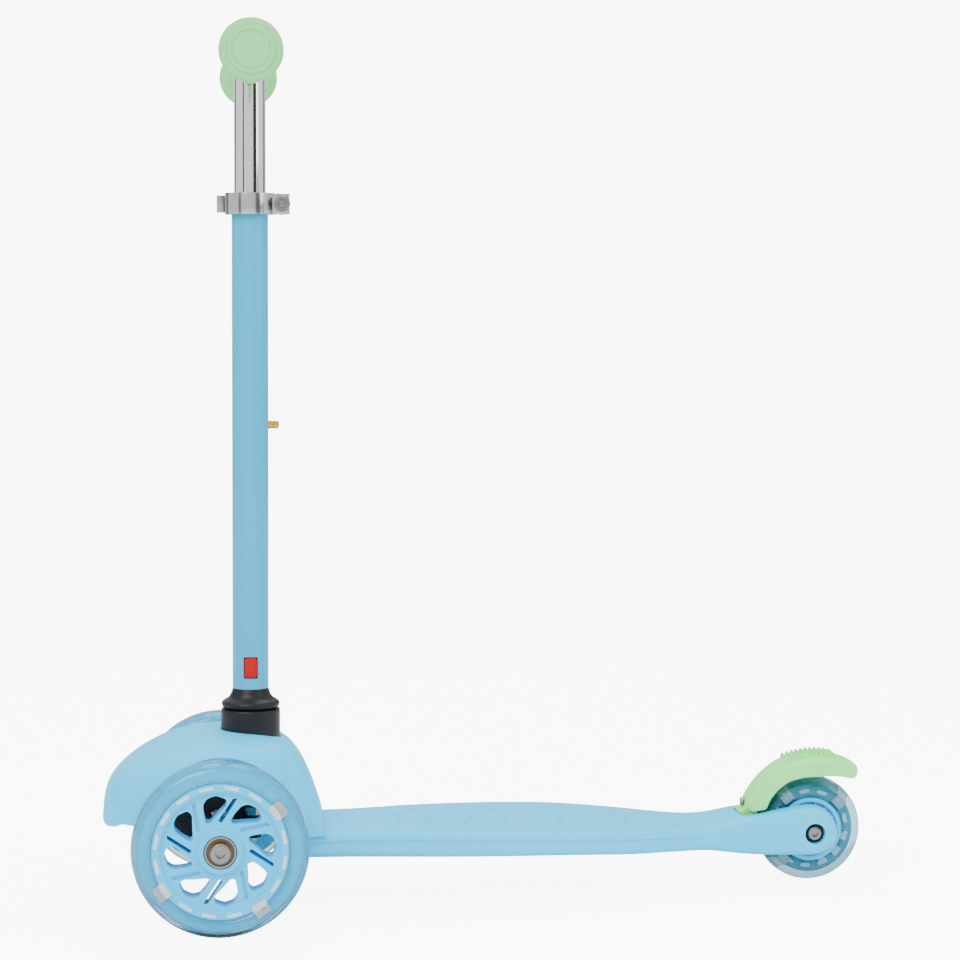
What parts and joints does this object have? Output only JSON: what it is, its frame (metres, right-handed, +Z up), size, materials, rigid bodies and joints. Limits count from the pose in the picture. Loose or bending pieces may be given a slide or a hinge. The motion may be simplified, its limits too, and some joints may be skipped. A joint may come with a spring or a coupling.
{
  "type": "kick scooter",
  "caption": "Toddler's kick scooter: low deck, lean-to-steer column, height-adjustable T-bar, clear light-up wheels and a stomp-brake fender.",
  "frame": {"origin": "centre of the scooter's bounding box, on the ground", "axes": "+X towards the rear wheel, +Y to the rider's right, +Z up"},
  "size_m": [0.5434, 0.242, 0.6123],
  "materials": {
    "blue_plastic": "satin",
    "blue_paint": "gloss",
    "mint_plastic": "satin",
    "mint_rubber": "matte",
    "black_plastic": "satin",
    "black_rubber": "matte",
    "red_plastic": "gloss",
    "clear_tyre": "clear gloss",
    "light_block": "translucent",
    "chrome": "polished",
    "steel": "zinc plated",
    "aluminium": "polished",
    "brass": "polished"
  },
  "bodies": {
    "root": {"deck": "blue_plastic", "front_shell": "blue_plastic", "truck_beam": "black_plastic", "kingpin_left": "steel", "kingpin_right": "steel", "lean_pivot_pin": "steel", "lean_buffer_left": "black_rubber", "lean_buffer_right": "black_rubber", "collar_ring": "black_plastic", "rear_axle_bolt": "steel", "rear_axle_nut": "steel", "fender_pin": "steel", "fender_spring": "steel"},
    "column": {"column_core": "black_plastic", "column_boot": "black_plastic", "stem_tube": "blue_paint", "button_spring": "steel", "detent_spring": "steel", "clamp_band": "aluminium", "clamp_bolt": "steel", "clamp_nut": "steel", "clamp_lever_pin": "steel"},
    "handlebar": {"t_bar": "chrome", "grip_left": "mint_rubber", "grip_right": "mint_rubber"},
    "clamp_lever": {"clamp_lever": "aluminium"},
    "detent_pin": {"detent_pin": "brass"},
    "release_button": {"release_button": "red_plastic"},
    "tie_rod": {"tie_rod": "steel"},
    "fender": {"fender": "mint_plastic", "fender_screw": "steel"},
    "knuckle_left": {"knuckle_left": "black_plastic", "front_axle_bolt_left": "steel"},
    "knuckle_right": {"knuckle_right": "black_plastic", "front_axle_bolt_right": "steel"},
    "front_wheel_left": {"front_wheel_left_tyre": "clear_tyre", "front_wheel_left_core": "blue_plastic", "front_wheel_left_bearing_outer": "steel", "front_wheel_left_bearing_inner": "steel", "front_wheel_left_spacer": "steel", "front_wheel_left_light_1": "light_block", "front_wheel_left_light_2": "light_block", "front_wheel_left_light_3": "light_block"},
    "front_wheel_right": {"front_wheel_right_tyre": "clear_tyre", "front_wheel_right_core": "blue_plastic", "front_wheel_right_bearing_outer": "steel", "front_wheel_right_bearing_inner": "steel", "front_wheel_right_spacer": "steel", "front_wheel_right_light_1": "light_block", "front_wheel_right_light_2": "light_block", "front_wheel_right_light_3": "light_block"},
    "rear_wheel": {"rear_wheel_tyre": "clear_tyre", "rear_wheel_core": "blue_plastic", "rear_wheel_bearing_outer": "steel", "rear_wheel_bearing_inner": "steel", "rear_wheel_spacer": "steel", "rear_wheel_light_1": "light_block", "rear_wheel_light_2": "light_block", "rear_wheel_light_3": "light_block"}
  },
  "joints": [
    {"name": "lean", "type": "hinge", "parent": "root", "child": "column", "pos_m": [-0.16766, 0, 0.1], "axis": [1, 0, 0], "range_deg": [-10, 10], "stiffness_Nm_per_rad": 20, "deforming": ["lean_buffer_left", "lean_buffer_right"]},
    {"name": "tie_rod_slide", "type": "slide", "parent": "root", "child": "tie_rod", "axis": [0, 1, 0], "range_m": [-0.0037, 0.0037]},
    {"name": "steer_left", "type": "hinge", "parent": "root", "child": "knuckle_left", "pos_m": [-0.1897, -0.072, 0.06], "axis": [0, 0, 1], "range_deg": [-9.5, 9.5]},
    {"name": "steer_right", "type": "hinge", "parent": "root", "child": "knuckle_right", "pos_m": [-0.1897, 0.072, 0.06], "axis": [0, 0, 1], "range_deg": [-9.5, 9.5]},
    {"name": "front_wheel_left_spin", "type": "hinge", "parent": "knuckle_left", "child": "front_wheel_left", "pos_m": [-0.1897, -0.103, 0.06], "axis": [0, 1, 0], "continuous": true},
    {"name": "front_wheel_right_spin", "type": "hinge", "parent": "knuckle_right", "child": "front_wheel_right", "pos_m": [-0.1897, 0.103, 0.06], "axis": [0, 1, 0], "continuous": true},
    {"name": "rear_wheel_spin", "type": "hinge", "parent": "root", "child": "rear_wheel", "pos_m": [0.2337, 0, 0.038], "axis": [0, 1, 0], "continuous": true},
    {"name": "fender_brake", "type": "hinge", "parent": "root", "child": "fender", "pos_m": [0.1881, 0, 0.0465], "axis": [0, 1, 0], "range_deg": [0, 3], "stiffness_Nm_per_rad": 3, "springref_deg": -8.59},
    {"name": "height_slide", "type": "slide", "parent": "column", "child": "handlebar", "axis": [0.0201, 0, 0.9998], "range_m": [-0.065, 0.07]},
    {"name": "clamp_lever_swing", "type": "hinge", "parent": "column", "child": "clamp_lever", "pos_m": [-0.13725, 0.0142, 0.49355], "axis": [-0.0201, 0, -0.9998], "range_deg": [0, 100]},
    {"name": "detent_press", "type": "slide", "parent": "column", "child": "detent_pin", "axis": [-0.9998, 0, 0.0201], "range_m": [0, 0.005], "stiffness_N_per_m": 500, "springref_m": -0.002, "deforming": ["detent_spring"]},
    {"name": "button_press", "type": "slide", "parent": "column", "child": "release_button", "axis": [0, 1, 0], "range_m": [0, 0.003], "stiffness_N_per_m": 800, "springref_m": -0.0015, "deforming": ["button_spring"]}
  ],
  "couplings": [
    {"joint": "tie_rod_slide", "follows": "lean", "m_per_rad": 0.0207},
    {"joint": "steer_left", "follows": "lean", "ratio": 0.93},
    {"joint": "steer_right", "follows": "lean", "ratio": 0.93}
  ]
}
